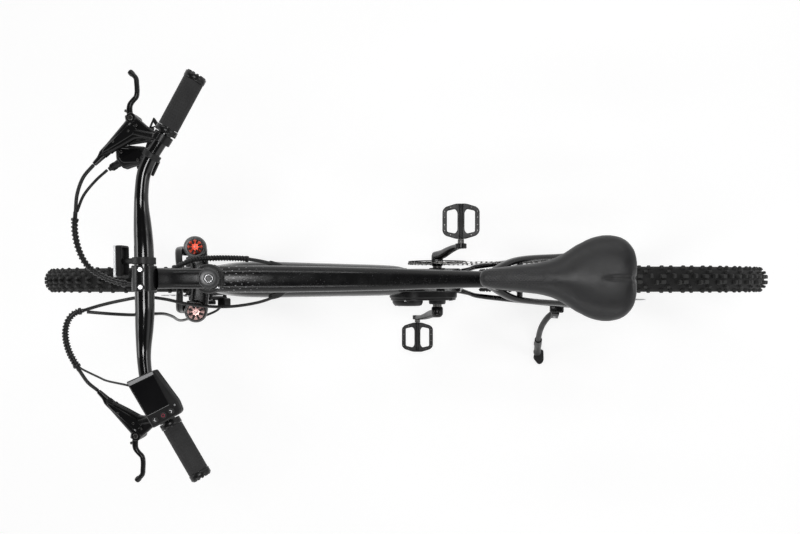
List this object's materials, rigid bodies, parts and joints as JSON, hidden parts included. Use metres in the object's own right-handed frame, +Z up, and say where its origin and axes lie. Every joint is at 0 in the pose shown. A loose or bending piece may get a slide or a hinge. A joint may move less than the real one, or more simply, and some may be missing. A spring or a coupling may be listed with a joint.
{
  "type": "electric bicycle",
  "caption": "Electric mountain bicycle with a mid motor, disc brakes, suspension fork, swept bar, display and side stand; it rolls, steers, pedals, brakes, folds its stand.",
  "frame": {"origin": "on the ground, halfway between the two axles, in the middle plane of the frame", "axes": "+X towards the front wheel, +Y to the rider's left, +Z up"},
  "size_m": [1.804, 0.7084, 1.0747],
  "materials": {
    "black_paint": "gloss black with a fine speckle",
    "cover": "smooth dark grey synthetic cover",
    "dark_steel": "dark oiled steel",
    "pink_cap": "pale pink anodised",
    "plastic": "matt moulded black",
    "red_cap": "orange red anodised",
    "rim": "black",
    "rubber": "matt black",
    "satin_black": "satin black anodised",
    "screen": "gloss black screen in a dark case",
    "steel": "bare steel",
    "tyre": "matt black tread"
  },
  "bodies": {
    "frame": {"frame": "black_paint", "battery_pack": "plastic", "headset_lower_cup": "satin_black", "headset_upper_cup": "satin_black", "motor_housing": "satin_black", "motor_side_cover": "satin_black", "rear_caliper": "satin_black", "rear_axle": "dark_steel", "chain": "dark_steel", "rear_derailleur": "satin_black", "seat_clamp": "satin_black"},
    "steering": {"fork_uppers": "satin_black", "stem": "satin_black", "stem_faceplate": "satin_black", "stem_cap": "satin_black", "handlebar": "satin_black", "grip_right": "rubber", "grip_left": "rubber", "brake_body_right": "satin_black", "brake_body_left": "satin_black", "shifter_body": "plastic", "display": "screen", "front_reflector": "plastic", "right_cables": "rubber", "left_cables": "rubber", "front_brake_hose": "rubber", "right_wrap": "plastic", "left_wrap": "plastic"},
    "fork_slider": {"fork_lowers": "satin_black", "front_caliper": "satin_black", "front_axle": "dark_steel"},
    "front_wheel": {"front_tyre": "tyre", "front_rim": "rim", "front_hub": "steel", "front_rotor": "steel"},
    "rear_wheel": {"rear_tyre": "tyre", "rear_rim": "rim", "rear_hub": "steel", "rear_rotor": "steel"},
    "freewheel": {"cassette": "steel"},
    "crankset": {"crank_right": "satin_black", "crank_left": "satin_black", "chainring": "dark_steel"},
    "jockey_upper": {"jockey_wheel_upper": "plastic"},
    "jockey_lower": {"jockey_wheel_lower": "plastic"},
    "right_lever": {"brake_lever_right": "satin_black"},
    "left_lever": {"brake_lever_left": "satin_black"},
    "trigger": {"shift_trigger": "plastic"},
    "thumb": {"shift_thumb_lever": "plastic"},
    "button_minus": {"button_minus": "rubber"},
    "button_power": {"button_power": "rubber"},
    "button_plus": {"button_plus": "rubber"},
    "stand": {"kickstand": "satin_black"},
    "right_pedal": {"pedal_right": "satin_black"},
    "left_pedal": {"pedal_left": "satin_black"},
    "lockout": {"lockout_knob": "red_cap"},
    "preload": {"preload_knob": "pink_cap"},
    "seat": {"seatpost": "satin_black", "saddle_shell": "plastic", "saddle_cushion": "cover"}
  },
  "joints": [
    {"name": "steering", "type": "hinge", "parent": "frame", "child": "steering", "pos_m": [0.50743, 0, 0.33742], "axis": [-0.3239, 0, 0.9461], "range_deg": [-50, 50], "deforming": ["right_cables", "left_cables"]},
    {"name": "fork_travel", "type": "slide", "parent": "steering", "child": "fork_slider", "axis": [-0.3239, 0, 0.9461], "range_m": [0, 0.08], "stiffness_N_per_m": 8000, "springref_m": -0.03, "deforming": ["front_brake_hose"]},
    {"name": "front_wheel_spin", "type": "hinge", "parent": "fork_slider", "child": "front_wheel", "pos_m": [0.55, 0, 0.352], "axis": [0, 1, 0], "continuous": true},
    {"name": "rear_wheel_spin", "type": "hinge", "parent": "frame", "child": "rear_wheel", "pos_m": [-0.55, 0, 0.352], "axis": [0, 1, 0], "continuous": true},
    {"name": "crank_turn", "type": "hinge", "parent": "frame", "child": "crankset", "pos_m": [-0.101, 0, 0.302], "axis": [0, 1, 0], "continuous": true},
    {"name": "cassette_turn", "type": "hinge", "parent": "frame", "child": "freewheel", "pos_m": [-0.55, 0, 0.352], "axis": [0, 1, 0], "continuous": true},
    {"name": "upper_jockey_turn", "type": "hinge", "parent": "frame", "child": "jockey_upper", "pos_m": [-0.56, -0.0455, 0.262], "axis": [0, 1, 0], "continuous": true},
    {"name": "lower_jockey_turn", "type": "hinge", "parent": "frame", "child": "jockey_lower", "pos_m": [-0.527, -0.0455, 0.212], "axis": [0, 1, 0], "continuous": true},
    {"name": "right_pedal_turn", "type": "hinge", "parent": "crankset", "child": "right_pedal", "pos_m": [-0.16109, -0.143, 0.46103], "axis": [0, 1, 0], "continuous": true},
    {"name": "left_pedal_turn", "type": "hinge", "parent": "crankset", "child": "left_pedal", "pos_m": [-0.04091, 0.1635, 0.14297], "axis": [0, 1, 0], "continuous": true},
    {"name": "right_brake_lever_pull", "type": "hinge", "parent": "steering", "child": "right_lever", "pos_m": [0.3985, -0.268, 1.0105], "axis": [0, 0, -1], "range_deg": [0, 20], "stiffness_Nm_per_rad": 0.6},
    {"name": "left_brake_lever_pull", "type": "hinge", "parent": "steering", "child": "left_lever", "pos_m": [0.3985, 0.268, 1.0105], "axis": [0, 0, 1], "range_deg": [0, 20], "stiffness_Nm_per_rad": 0.6},
    {"name": "shift_trigger_pull", "type": "hinge", "parent": "steering", "child": "trigger", "pos_m": [0.398, -0.206, 0.983], "axis": [0, 0, -1], "range_deg": [0, 12], "stiffness_Nm_per_rad": 0.15},
    {"name": "shift_thumb_push", "type": "hinge", "parent": "steering", "child": "thumb", "pos_m": [0.406, -0.196, 0.9775], "axis": [0, 0, -1], "range_deg": [0, 25], "stiffness_Nm_per_rad": 0.15},
    {"name": "button_minus_press", "type": "slide", "parent": "steering", "child": "button_minus", "axis": [0, 0, -1], "range_m": [0, 0.001], "stiffness_N_per_m": 500},
    {"name": "button_power_press", "type": "slide", "parent": "steering", "child": "button_power", "axis": [0, 0, -1], "range_m": [0, 0.001], "stiffness_N_per_m": 500},
    {"name": "button_plus_press", "type": "slide", "parent": "steering", "child": "button_plus", "axis": [0, 0, -1], "range_m": [0, 0.001], "stiffness_N_per_m": 500},
    {"name": "stand_fold", "type": "hinge", "parent": "frame", "child": "stand", "pos_m": [-0.412, 0.083, 0.296], "axis": [0.09, 0.8924, 0.4422], "range_deg": [0, 85]},
    {"name": "seat_height", "type": "slide", "parent": "frame", "child": "seat", "axis": [-0.3007, 0, 0.9537], "range_m": [-0.02, 0.06]},
    {"name": "lockout_turn", "type": "hinge", "parent": "steering", "child": "lockout", "pos_m": [0.37201, -0.064, 0.81321], "axis": [-0.3239, 0, 0.9461], "range_deg": [0, 90]},
    {"name": "preload_turn", "type": "hinge", "parent": "steering", "child": "preload", "pos_m": [0.37201, 0.064, 0.81321], "axis": [-0.3239, 0, 0.9461], "range_deg": [0, 360]}
  ],
  "couplings": [
    {"joint": "cassette_turn", "follows": "crank_turn", "ratio": 2},
    {"joint": "upper_jockey_turn", "follows": "crank_turn", "ratio": -3.2727},
    {"joint": "lower_jockey_turn", "follows": "crank_turn", "ratio": 3.2727}
  ]
}
